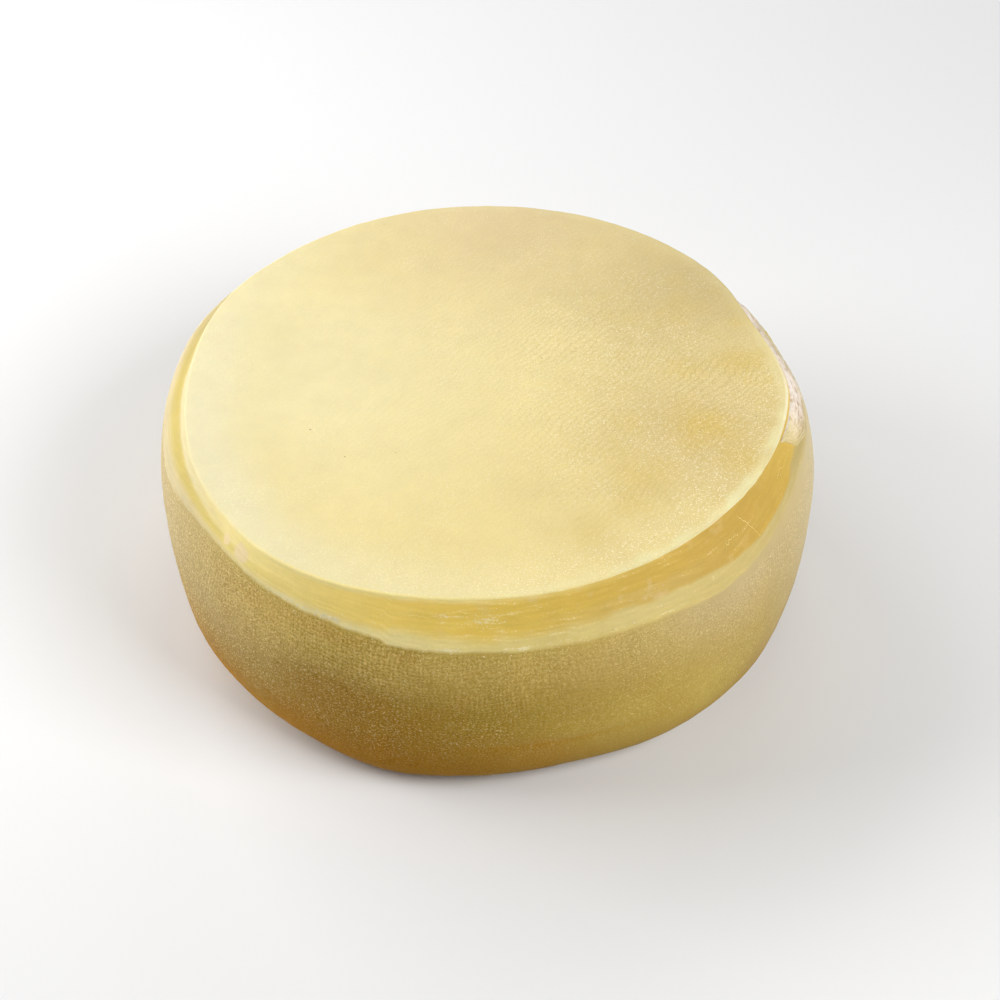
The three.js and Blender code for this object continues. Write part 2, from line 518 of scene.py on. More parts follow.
# Washes over the top: place and spread in millimetres, strength, colour
TOP_WASHES = (
    ((-90, 10), 70, 1, TOP_LEFT),
    ((10, 125), 48, 0.9, TOP_PINK),
    ((98, 69), 42, 0.88, TOP_GREY),
    ((94, -34), 38, 0.9, TOP_BEIGE),
    ((42, -88), 30, 0.28, TOP_BEIGE),
    ((93, -30), 8, 0.85, TOP_HONEY),
    ((115, 12), 6, 0.55, TOP_HONEY),
    ((90, 7), 5, 0.5, TOP_HONEY),
    ((62, -29), 4.5, 0.45, TOP_HONEY),
    ((111, -51), 6.5, 0.55, TOP_HONEY),
    ((66, -64), 7, 0.4, TOP_HONEY),
    ((64, -79), 4.5, 0.35, TOP_HONEY),
    ((43, -99), 5.5, 0.3, TOP_HONEY),
)
# Where the top's texture is clear: place and spread in millimetres, strength
CLEAR_PATCHES = (((82, -10), 55, 1), ((15, 50), 42, 0.25))
# Washes over the side: azimuth and its spread, height and its spread, strength, colour
SIDE_WASHES = (
    ((100, 48), (55, 45), 0.62, SIDE_BEIGE_AND_SHEEN),
    # Painted sheen, partly: paler beige on the side near azimuth 340, on top of the rind's own tone.
    ((340, 26), (74, 42), 0.75, SIDE_BEIGE_AND_SHEEN),
    # Painted sheen: a whitish wash on the side near azimuth 3.
    ((3, 16), (64, 48), 0.6, SIDE_PAINTED_SHEEN),
    ((316, 12), (84, 10), 0.8, SIDE_BEIGE_AND_SHEEN),
    ((308, 14), (68, 16), 0.2, SIDE_BEIGE_AND_SHEEN),
    # Painted light: a lighter tan just under the rim at the front left, near azimuth 236.
    ((236, 14), (85, 12), 0.75, SIDE_TAN_PAINTED_LIGHT),
    # Painted sheen, partly: paler beige on the side near azimuth 188, on top of the rind's own tone.
    ((188, 28), (74, 32), 0.95, SIDE_BEIGE_AND_SHEEN),
    # Painted reflection: warm brown low on the front left, standing in for light reflected from a brown
    # surface below.
    ((228, 24), (20, 16), 0.7, SIDE_BROWN_AND_PAINTED_LIGHT),
    # Painted reflection, partly: bright amber along the foot at the front left, partly the foot's own warm
    # tone.
    ((218, 18), (0, 11), 0.9, SIDE_AMBER_AND_REFLECTION),
    ((304, 18), (34, 24), 0.8, SIDE_GOLD),
)


def top_tone(skin):
    """Colour of the top: cream, pinkish at the back, greyer at the back right, with honey patches."""
    x, y = skin.points[..., 0], skin.points[..., 1]
    tone = np.broadcast_to(np.array(TOP_CREAM), skin.points.shape)
    for (middle_x, middle_y), spread, strength, colour in TOP_WASHES:
        ragged = min(0.3, 3 / spread) * skin.noise(7, 66)
        away = np.hypot(x - middle_x, y - middle_y) * (1 + ragged)
        tone = blend(strength * near(away, 0, spread), tone, colour)
    honey = smooth(0.1, 0.8, skin.noise(15, 65) + 0.6 * skin.noise(6, 67))
    tone = blend(0.25 * honey * smooth(20, 80, x), tone, TOP_HONEY)
    left_edge = smooth(34, 4, skin.inward) * skin.around(*PALE_MARGIN)
    tone = blend(0.75 * left_edge, tone, TOP_PALE)
    margin = smooth(5.5, 1.5, skin.inward + 2 * skin.noise(9, 68))
    margin = margin * (0.15 + 0.6 * skin.around(*FRONT_RIGHT))
    tone = blend(margin * (1 + 0.6 * skin.noise(8, 69)), tone, TOP_MARGIN)
    # Painted highlight: a thin whitish line along the top's crisp edge near azimuth 356.
    edge_highlight = smooth(0.9, 0, skin.inward) * skin.around(*HIGHLIT_EDGE)
    tone = blend(0.55 * edge_highlight, tone, TOP_GLINT)
    edge_line = smooth(0.9, 0, skin.inward) * skin.around(*FRONT_LEFT)
    return blend(edge_line, tone, EDGE_LINE)


def side_tone(skin):
    """Colour of the side: ochre that is paler towards the rim and browner towards the foot, the browning
    partly painted shade.
    """
    height = skin.points[..., 2] + 7 * skin.noise(34, 81)
    # Painted shade, partly: the side darkens from the rim to the foot, both as the rind's own deeper tone and
    # as shade where little light reaches the lower side.
    tone = blend(smooth(92, 50, height), SIDE_UPPER, SIDE_MIDDLE)
    tone = blend(smooth(46, 6, height), tone, SIDE_FOOT_AND_SHADE)
    for (middle, spread), (middle_height, height_spread), strength, colour in SIDE_WASHES:
        weight = skin.around(middle, spread) * near(height, middle_height, height_spread)
        tone = blend(strength * weight, tone, colour)
    # Painted shade: a brown line along the crease over the foot strip.
    crease = near(skin.points[..., 2], CREASE_HEIGHT - 1, 1.2)
    crease = crease * skin.around(CREASE_AZIMUTH, CREASE_SPREAD)
    tone = blend(0.35 * crease, tone, SIDE_BROWN_AND_PAINTED_LIGHT)
    patches = skin.noise(27, 89) + 0.5 * skin.noise(11, 90)
    front = skin.around(*PATCHY_SIDE)
    tone = blend(0.3 * front * smooth(0.1, 0.9, patches), tone, SIDE_BROWN_AND_PAINTED_LIGHT)
    tone = blend(0.3 * front * smooth(-0.1, -0.9, patches), tone, SIDE_OLIVE)
    under_rim = near(skin.below_rim, 1.2, 1.8) * skin.around(*GOLD_UNDER_RIM)
    tone = blend(0.55 * under_rim, tone, SIDE_GOLD)
    warm = near(skin.below_rim, 6, 4) * skin.around(*BROWN_UNDER_RIM)
    return blend(0.2 * warm, tone, SIDE_BROWN_AND_PAINTED_LIGHT)


def band_tone(skin):
    """Colour of the trimmed band: gold above, pale below, an orange painted shade in the groove and a pale
    edge line.
    """
    azimuth, height, share = skin.azimuth, skin.points[..., 2], skin.share
    streak = value_noise(on_ring(azimuth, 14, skin.across), 1.3, 83)
    ragged = 1.1 * skin.noise(11, 85) + 0.6 * skin.noise(4, 86) + 0.4 * streak
    crisp = 1 - 0.65 * skin.around(*FRONT_RIGHT)
    soft = crisp * (1 + 0.9 * skin.around(*FRONT_LEFT))
    above = height - GOLD_LOW - swell(GOLD_LOW_SWELLS, azimuth) - ragged * crisp
    gold = smooth(-2 * soft, 1.5 * soft, above)
    pale = blend(skin.around(*BEIGE_BAND), BAND_PALE, BAND_BEIGE)
    # Painted light, partly: the lower band near azimuth 243 is lighter, partly its own pale tone and partly
    # light that the lamps do not give there.
    pale = blend(skin.around(*PAINTED_LIGHT_BAND), pale, BAND_PALE_AND_PAINTED_LIGHT)
    # Painted light, partly: the upper band near azimuth 226 is a near-white cream, partly its own tone and
    # partly light that the lamps do not give there.
    front_left = skin.around(*CREAM_BAND)
    upper = blend(front_left, BAND_GOLD, BAND_CREAM_AND_PAINTED_LIGHT)
    upper = blend(skin.around(*DEEP_BAND), upper, BAND_DEEP)
    blotches = smooth(0.4, 0.95, skin.noise(6, 82) + 0.5 * skin.noise(2.5, 91))
    upper = blend(0.35 * blotches * skin.around(*BLOTCHED_BAND), upper, BRUISE_PINK)
    upper = upper * (1 - 0.14 * skin.around(*DIM_BAND))[..., None]
    tone = blend(gold, pale, upper)
    left = smooth(0, 0.6, skin.around(*GROOVED_BAND))
    # Painted shade: the groove is coloured darker orange, except near azimuth 146.
    groove = blend(skin.around(*PALE_GROOVE), GROOVE_PAINTED_SHADE, BAND_OUTER)
    outer = blend(smooth(0.4, 0.8, share), BAND_OUTER, groove)
    walled = blend(smooth(0.88, 1.3, share), outer, BAND_WALL)
    tone = blend(left, tone, walled)
    tone = blend(near(share, 0.88, 0.14) * (0.1 + 0.2 * left), tone, groove)
    edge_line = smooth(1.74, 1.97, share) * (0.75 + 0.25 * skin.noise(8, 88))
    tone = blend(edge_line * skin.around(*FRONT_LEFT), tone, EDGE_LINE)
    for bruise_azimuth, bruise_height, size in BRUISES:
        away_round = np.radians(turn_between(bruise_azimuth, azimuth)) * WHEEL_RADIUS
        away = np.hypot(away_round, 1.2 * (height - bruise_height)) + 0.8 * skin.noise(3.5, 92)
        tone = blend(0.85 * smooth(size + 0.6, size - 0.4, away), tone, BRUISE_PINK)
    return tone


def clothed(skin):
    """Where the cloth's grain starts: at the rim in front, under a smooth strip at the right."""
    bare = 1 + 7 * skin.around(*BARE_STRIP)
    return smooth(bare - 1, bare + 2.5, skin.below_rim + 1.2 * skin.noise(9, 73))


def clear_on_top(skin):
    """How clear the top's texture is, from 0 to 1: clearest at the right."""
    x, y = skin.points[..., 0], skin.points[..., 1]
    clear = np.zeros_like(x)
    for (middle_x, middle_y), spread, strength in CLEAR_PATCHES:
        clear = clear + strength * near(np.hypot(x - middle_x, y - middle_y), 0, spread)
    return smooth(1, 7, skin.inward) * np.clip(clear, 0, 1)


def cloth_strength(skin):
    """How clearly the cloth's threads are pressed in, from 0 to 1."""
    height = skin.points[..., 2]
    threads = 0.85 * skin.around(*CLEAR_THREADS) * near(height, 76, 20)
    front = 0.48 * skin.around(*FAINT_THREADS) * near(height, 68, 26)
    threads = np.maximum(threads, front * (1 + 0.4 * skin.noise(12, 74)))
    patchy = 0.1 + 0.35 * smooth(-0.2, 0.8, skin.noise(26, 75))
    foot = CREASE_HEIGHT * skin.around(CREASE_AZIMUTH, 30) + 6
    above_foot = smooth(foot - 5, foot + 5, height)
    on_side = clothed(skin) * np.maximum(threads, patchy) * (0.15 + 0.85 * above_foot)
    on_top = (0.1 + 0.9 * clear_on_top(skin)) * (0.65 + 0.45 * skin.noise(24, 77))
    return skin.is_side * on_side + skin.is_top * on_top


def grit_strength(skin):
    """How strong the fine grain is: 1 is the side at the front."""
    on_side = SIDE_GRIT + swell(SIDE_GRIT_SWELLS, skin.azimuth)
    on_side = on_side * (0.2 + 0.8 * clothed(skin))
    on_top = 0.09 + 0.26 * clear_on_top(skin)
    return skin.is_side * on_side + skin.is_top * on_top + skin.is_band * 0.1


def chalk_strength(skin):
    """How much whitish crumb and chalk lies on the band, from 0 to 1."""
    share = skin.share
    patchy = smooth(-0.35, 0.6, skin.noise(13, 87) + 0.6 * skin.noise(4, 84))
    front = skin.around(*CHALKY_RIM)
    rim = smooth(0.16, 0.02, share) * patchy * (0.08 + 0.75 * front)
    crumbly = skin.around(*CRUMBLY_RIM) * near(share, 0.18, 0.16) * patchy
    streaky = skin.around(*CHALK_STREAK) * near(share, 1.28, 0.06) * (0.6 + 0.4 * patchy)
    scraped = skin.around(*SCRAPED_SPOT) * near(share, 1.05, 0.18)
    faint = 0.06 + 0.12 * skin.around(*FAINT_CHALK)
    strongest = np.maximum.reduce((rim, 0.75 * crumbly, 0.4 * streaky, 0.32 * scraped))
    return skin.is_band * np.clip(strongest + faint, 0, 1)


def bloom_and_glint_strength(skin):
    """How much fine whitish bloom and painted glints sparkle on the side and the top, from 0 to 1."""
    height = skin.points[..., 2]
    on_side = SIDE_BLOOM_AND_GLINT + swell(SIDE_BLOOM_AND_GLINT_SWELLS, skin.azimuth) + 0.25 * skin.noise(22, 79)
    on_side = on_side * (1 - 0.45 * skin.around(*FAINT_BLOOM_AND_GLINT_BACK))
    on_side = on_side * (0.2 + 0.8 * smooth(8, 44, height)) * clothed(skin)
    front_edge = near(skin.inward, 9, 9) * skin.around(*SPARKLING_EDGE)
    on_top = 0.12 + 0.38 * clear_on_top(skin) + 0.35 * front_edge + 0.15 * skin.noise(18, 80)
    return np.clip(skin.is_side * on_side + skin.is_top * on_top, 0, 1)


def skin_looks(skin):
    """The colour and the finish masks of each point of the skin."""
    tone = blend(skin.is_band, blend(skin.is_top, side_tone(skin), top_tone(skin)), band_tone(skin))
    masks = {
        "on_top": skin.is_top,
        "on_band": skin.is_band,
        "across": skin.across * MM,
        "cloth": cloth_strength(skin),
        "grit": grit_strength(skin),
        "bloom_and_glints": bloom_and_glint_strength(skin),
        "chalk": chalk_strength(skin),
    }
    return tone, masks


def add_object(name, data):
    """A new object, linked to the scene."""
    made = bpy.data.objects.new(name, data)
    bpy.context.scene.collection.objects.link(made)
    return made


def make_object(name, points, faces, tone, masks):
    """A smooth-shaded mesh object with a colour and one float attribute for each mask."""
    mesh = bpy.data.meshes.new(name)
    mesh.vertices.add(len(points))
    mesh.vertices.foreach_set("co", np.asarray(points, np.float32).ravel() * MM)
    sizes = np.concatenate([np.full(len(group), group.shape[1], np.int32) for group in faces])
    mesh.loops.add(int(sizes.sum()))
    around = np.concatenate([group.ravel() for group in faces])
    mesh.loops.foreach_set("vertex_index", around.astype(np.int32))
    mesh.polygons.add(len(sizes))
    mesh.polygons.foreach_set("loop_start", (np.cumsum(sizes) - sizes).astype(np.int32))
    mesh.polygons.foreach_set("use_smooth", np.ones(len(sizes), bool))
    mesh.update(calc_edges=True)
    mesh.validate()
    painted = mesh.attributes.new("tone", "FLOAT_COLOR", "POINT")
    painted.data.foreach_set("color", np.insert(tone, 3, 1, axis=-1).astype(np.float32).ravel())
    for label, values in masks.items():
        made = mesh.attributes.new(label, "FLOAT", "POINT")
        made.data.foreach_set("value", np.asarray(values, np.float32).ravel())
    return add_object(name, mesh)


def grid_faces(rows, columns, closed):
    """Quads of a grid of points, joined round from the last column to the first if it is closed."""
    here = np.arange(columns if closed else columns - 1)
    ahead = (here + 1) % columns
    low = (np.arange(rows - 1) * columns)[:, None]
    high = low + columns
    return np.stack((low + here, low + ahead, high + ahead, high + here), -1).reshape(-1, 4)


def make_wheel(skin):
    """The wheel as one closed mesh: its skin, with a fan of triangles at each pole."""
    tone, masks = skin_looks(skin)
    rows, columns = skin.azimuth.shape
    poles = np.array(((0, 0, 0), (0, 0, skin.points[-1, :, 2].mean())))
    points = np.concatenate((skin.points.reshape(-1, 3), poles))
    tone = np.concatenate((tone.reshape(-1, 3), (tone[0].mean(0), tone[-1].mean(0))))
    flat_masks = {}
    for label, values in masks.items():
        flat_masks[label] = np.concatenate((values.ravel(), (values[0].mean(), values[-1].mean())))
    base_pole = rows * columns
    here = np.arange(columns)
    ahead = (here + 1) % columns
    last = (rows - 1) * columns
    base_fan = np.stack((base_pole + 0 * here, ahead, here), -1)
    top_fan = np.stack((base_pole + 1 + 0 * here, last + here, last + ahead), -1)
    faces = [grid_faces(rows, columns, True), base_fan, top_fan]
    return make_object("cheese", points, faces, tone, flat_masks)


# Loose rind: a crinkled skin left on the band at the right and the back
RIND_START = 342.8
RIND_END = 64
RIND_STEP = 0.2
RIND_ROWS = 56
RIND_LIFT = 0.35
RIND_SINK = 0.3
RIND_WIDTH = 19
RIND_TAPER = 14
MM_PER_DEGREE = 2.6


def make_loose_rind(skin):
    """The loose rind: a sheet of its own whose torn border sinks into the band under it."""
    length = turn_between(RIND_START, RIND_END)
    columns = int(length / RIND_STEP)
    along = np.linspace(0, length, columns)[None, :] + np.zeros((RIND_ROWS, 1))
    across = np.linspace(0, 1, RIND_ROWS)[:, None] + 0 * along
    azimuth = RIND_START + along
    ring = on_ring(azimuth, WHEEL_RADIUS, 0)
    torn = value_noise(ring, 13, 91) + 0.35 * value_noise(ring, 4.5, 93)
    far_end = smooth(length, length - RIND_TAPER, along)
    slant = 1.25 * smooth(5, 0, along)
    lowest = 0.6 + slant - smooth(4, 8, along) * far_end * (0.56 + 0.08 * torn)
    highest = 0.8 + far_end * (1.12 + 0.02 * torn)
    row = skin.band_row(lowest + (highest - lowest) * across)
    base = skin.sample(skin.points, azimuth, row)
    normals = unit(skin.sample(skin.normals(), azimuth, row))

    distance = np.radians(azimuth) * WHEEL_RADIUS
    width = across * RIND_WIDTH
    bend = 1.4 * value_noise(base, 16, 95)
    drape = np.stack((distance / 6, width + 0.12 * distance + bend, 0 * width), -1)
    wrinkles = ridged_noise(drape, 2.6, 97)
    fine = ridged_noise(drape * np.array((2, 1, 1)), 1.1, 99)
    to_sides = np.minimum(across, 1 - across) * RIND_WIDTH
    border = np.minimum(to_sides, np.minimum(along, length - along) * MM_PER_DEGREE)
    inside = smooth(0, 1.6, border)
    flap = near(along, 3, 4.5)
    crinkled = (0.32 * wrinkles + 0.2 * fine) * (1 - 0.8 * flap) + 0.3 * flap
    lift = RIND_LIFT + crinkled + 0.18 * value_noise(base, 9, 101)
    raised = inside * np.maximum(lift, 0.05) - RIND_SINK * (1 - inside)
    points = base + normals * raised[..., None]

    # Painted highlight and shade, partly: the wrinkles' crests are whitened and their hollows deepened, on
    # top of the dry skin's own tones.
    crest = smooth(0.1, 0.9, 0.5 + 0.4 * wrinkles + 0.45 * fine)
    tone = blend(crest, RIND_DEEP_AND_SHADE, RIND_WHITE_AND_HIGHLIGHT)
    tone = blend(0.85 * smooth(0.42, 0.08, across + 0.1 * torn), tone, RIND_BEIGE)
    tone = blend(0.75 * flap * smooth(0.3, 2, border), tone, BAND_PALE)
    faces = [grid_faces(RIND_ROWS, columns, False)]
    return make_object("loose_rind", points.reshape(-1, 3), faces, tone.reshape(-1, 3), {})


# Crumbs on the band: azimuth and spread, share of the band and spread, how many, smallest and largest size
CRUMB_GROUPS = (
    ((236, 6), (0.05, 0.06), 34, (0.25, 0.65)),
    ((245, 3.5), (0.07, 0.07), 36, (0.25, 0.8)),
    ((262, 4), (0.03, 0.04), 26, (0.22, 0.6)),
    ((283, 7), (0.03, 0.04), 26, (0.2, 0.5)),
    ((270.5, 1.6), (1.12, 0.16), 26, (0.2, 0.5)),
    ((250, 3), (0.75, 0.25), 12, (0.2, 0.45)),
    ((305, 9), (0.45, 0.35), 20, (0.18, 0.4)),
    ((345, 4), (1.1, 0.35), 10, (0.2, 0.45)),
    ((0, 180), (0.03, 0.06), 90, (0.18, 0.45)),
)
# Dark specks on the top, in millimetres
TOP_SPECKS = ((-76, -33), (-60, -50.5), (25.3, 15.9), (-38.5, -47.9), (119, -24))
SPECK_SIZE = 0.24
SPECK_BROWN = (0.3, 0.2, 0.08)
# Knife scars: thin raised threads, from one azimuth and band share to another
SCARS = (
    ((322, 1.55), (324.6, 0.25)),
    ((335.5, 1.15), (339, 1.3)),
    ((316.5, 0.8), (320.5, 0.92)),
    ((262, 1.3), (268.5, 1.36)),
    ((256, 1.05), (261, 1.12)),
)
SCAR_WIDTH = 0.13
SCAR_STEPS = 24
SCAR_SIDES = 6


def crumb_ball():
    """Corners and faces of one rough ball of unit radius."""
    ball = bmesh.new()
    bmesh.ops.create_icosphere(ball, subdivisions=2, radius=1)
    corners = np.array([corner.co[:] for corner in ball.verts])
    faces = np.array([[corner.index for corner in face.verts] for face in ball.faces])
    ball.free()
    return corners, faces


def frame_at(normal):
    """A tangent round the wheel and a second tangent, for a unit normal."""
    round_it = np.cross((0, 0, 1), normal)
    if np.linalg.norm(round_it) < 0.1:
        round_it = np.array((1, 0, 0))
    round_it = round_it / np.linalg.norm(round_it)
    return round_it, np.cross(normal, round_it)


def make_crumbs(skin, middle):
    """Crumbs, specks and thin scars as one mesh lying on the wheel."""
    random = np.random.default_rng(SEED)
    corners, ball_faces = crumb_ball()
    normals = skin.normals()
    points, faces, tones = [], [], []

    def add(new_points, new_faces, colour):
        faces.append(new_faces + sum(map(len, points)))
        points.append(new_points)
        tones.append(np.broadcast_to(np.array(colour), new_points.shape))

    def add_ball(place, normal, size, colour):
        round_it, up_it = frame_at(normal)
        rough = corners * (1 + 0.35 * random.uniform(-1, 1, (len(corners), 1)))
        stretch = size * random.uniform(0.7, 1.5, 3) * np.array((1.3, 0.9, 0.6))
        rough = rough * stretch
        made = rough[:, :1] * round_it + rough[:, 1:2] * up_it + rough[:, 2:] * normal
        add(place + made + 0.25 * size * normal, ball_faces, colour)

    for (azimuth, spread), (share, share_spread), how_many, (small, large) in CRUMB_GROUPS:
        for _ in range(how_many):
            at = np.array([azimuth + spread * np.clip(random.normal(), -2, 2)])
            row = skin.band_row(np.array([share + share_spread * random.normal()]))
            normal = skin.sample(normals, at, row)[0]
            size = small + (large - small) * random.random() ** 2
            shade = random.uniform(0.86, 1)
            add_ball(skin.sample(skin.points, at, row)[0], normal, size / 2, np.array(CHALK) * shade)
    for x, y in TOP_SPECKS:
        place = np.array((x - middle[0], y - middle[1], WHEEL_HEIGHT))
        add_ball(place, np.array((0, 0, 1)), SPECK_SIZE, SPECK_BROWN)
    for (start, start_share), (end, end_share) in SCARS:
        along = np.linspace(0, 1, SCAR_STEPS)
        bow = 0.12 * np.sin(math.pi * along) + 0.03 * random.normal(size=SCAR_STEPS)
        azimuth = start + (end - start) * along
        row = skin.band_row(start_share + (end_share - start_share) * along + bow)
        line = skin.sample(skin.points, azimuth, row)
        outward = skin.sample(normals, azimuth, row)
        sideways = np.cross(unit(np.gradient(line, axis=0)), outward)
        width = SCAR_WIDTH * np.sin(math.pi * along) ** 0.5 * random.uniform(0.4, 1.3, SCAR_STEPS)
        rings = []
        for step in range(SCAR_SIDES):
            turn = 2 * math.pi * step / SCAR_SIDES
            out = math.cos(turn) * sideways + math.sin(turn) * outward
            rings.append(line + out * width[:, None])
        tube = np.stack(rings, axis=1)
        add(tube.reshape(-1, 3), grid_faces(SCAR_STEPS, SCAR_SIDES, True), BAND_CREAM_AND_PAINTED_LIGHT)
    triangles = np.concatenate([group for group in faces if group.shape[1] == 3])
    quads = np.concatenate([group for group in faces if group.shape[1] == 4])
    return make_object("crumbs", np.concatenate(points), [triangles, quads], np.concatenate(tones), {})


REFRACTION = 1.45


class Graph:
    """A material's nodes, made and joined by short calls."""

    def __init__(self, name):
        self.material = bpy.data.materials.new(name)
        self.material.use_nodes = True
        self.tree = self.material.node_tree
        self.tree.nodes.clear()
        self.place = self.node("TexCoord", {}).outputs["Object"]

    def put(self, socket, value):
        if isinstance(value, bpy.types.NodeSocket):
            self.tree.links.new(value, socket)
        elif socket.type == "RGBA" and len(value) == 3:
            socket.default_value = (*value, 1)
        else:
            socket.default_value = value

    def node(self, kind, inputs, **settings):
        made = self.tree.nodes.new("ShaderNode" + kind)
        for name, value in settings.items():
            setattr(made, name, value)
        for name, value in inputs.items():
            self.put(made.inputs[name], value)
        return made

    def math(self, operation, first, second=0, third=0):
        return self.node("Math", {0: first, 1: second, 2: third}, operation=operation).outputs[0]

    def vector(self, operation, first, second=(0, 0, 0)):
        return self.node("VectorMath", {0: first, 1: second}, operation=operation).outputs[0]

    def scaled(self, vector, scale):
        return self.node("VectorMath", {0: vector, "Scale": scale}, operation="SCALE").outputs[0]

    def split(self, vector):
        return self.node("SeparateXYZ", {0: vector}).outputs

    def join(self, x, y, z=0):
        return self.node("CombineXYZ", {0: x, 1: y, 2: z}).outputs[0]

    def mix(self, share, first, second):
        return self.node("Mix", {0: share, 6: first, 7: second}, data_type="RGBA").outputs[2]

    def blend(self, share, first, second):
        return self.node("Mix", {0: share, 2: first, 3: second}, data_type="FLOAT").outputs[0]

    def attribute(self, label, output):
        return self.node("Attribute", {}, attribute_name=label).outputs[output]

    def noise(self, place, size, detail=2, roughness=0.5, colour=False):
        made = self.node(
            "TexNoise",
            {"Vector": place, "Scale": 1 / (size * MM), "Detail": detail, "Roughness": roughness},
        )
        return made.outputs["Color" if colour else "Fac"]

    def random(self, place):
        return self.node("TexWhiteNoise", {"Vector": place}).outputs["Value"]

    def step(self, value, low, high):
        made = self.node(
            "MapRange",
            {"Value": value, "From Min": low, "From Max": high},
            interpolation_type="SMOOTHSTEP",
        )
        return made.outputs["Result"]

    def total(self, *values):
        added = values[0]
        for value in values[1:]:
            added = self.math("ADD", added, value)
        return added

    def product(self, *values):
        made = values[0]
        for value in values[1:]:
            made = self.math("MULTIPLY", made, value)
        return made

    def swing(self, value, middle, amount):
        """A value's distance from its middle, times an amount."""
        return self.product(self.math("SUBTRACT", value, middle), amount)

    def finish(self, inputs):
        """Close the material with its surface shader."""
        shader = self.node("BsdfPrincipled", {"IOR": REFRACTION, **inputs})
        self.node("OutputMaterial", {"Surface": shader.outputs[0]})
        return self.material


def cloth_pattern(graph, on_top):
    """Height of the cloth imprint from 0 to 1."""
    place = graph.place
    parts = graph.split(place)
    around_count = 2 * round(math.pi * WHEEL_RADIUS / SIDE_PITCH)
    angle = graph.math("ARCTAN2", parts[1], parts[0])
    side_u = graph.product(angle, around_count / (2 * math.pi))
    side_v = graph.product(parts[2], 1 / (SIDE_PITCH * MM))
    turn = math.radians(TOP_CLOTH_TURN)
    cosine = math.cos(turn) / (TOP_PITCH * MM)
    sine = math.sin(turn) / (TOP_PITCH * MM)
    top_u = graph.total(graph.product(parts[0], cosine), graph.product(parts[1], sine))
    top_v = graph.total(graph.product(parts[1], cosine), graph.product(parts[0], -sine))
    threads = graph.join(graph.blend(on_top, side_u, top_u), graph.blend(on_top, side_v, top_v))
    drift = graph.vector("SUBTRACT", graph.noise(place, 45, 2, 0.6, True), (0.5, 0.5, 0.5))
    shake = graph.vector("SUBTRACT", graph.noise(place, 3.5, 1, 0.5, True), (0.5, 0.5, 0.5))
    threads = graph.vector("ADD", threads, graph.vector("MULTIPLY", drift, (7, 7, 0)))
    threads = graph.vector("ADD", threads, graph.vector("MULTIPLY", shake, (1.1, 1.1, 0)))
    cell = graph.vector("FLOOR", graph.vector("ADD", threads, (0.5, 0.5, 0)))
    chance = graph.random(cell)
    cell_parts = graph.split(cell)
    parts = graph.split(threads)

    def wave(value, turns, swing):
        cosine_wave = graph.math("COSINE", graph.product(value, turns * math.pi))
        return graph.math("MULTIPLY_ADD", cosine_wave, swing, 0.5)

    warp_over = wave(graph.total(parts[1], cell_parts[0]), 1, 0.5)
    weft_over = wave(graph.total(parts[0], cell_parts[1]), 1, -0.5)
    warp = graph.product(wave(parts[0], 2, 0.5), warp_over)
    weft = graph.product(wave(parts[1], 2, 0.5), weft_over)
    woven = graph.math("MAXIMUM", warp, weft)
    lines = graph.step(wave(parts[1], 2, 0.5), 0, 0.35)
    lined = graph.blend(graph.product(on_top, 0.7), woven, lines)
    shade = graph.blend(graph.product(on_top, 0.8), graph.math("MULTIPLY_ADD", chance, 0.75, 0.35), 0.7)
    return graph.product(lined, shade)


# Painted glints, partly: the fine grain's light flecks are whitened towards grey, as glints would be.
GRAIN_WHITENESS = 0.3


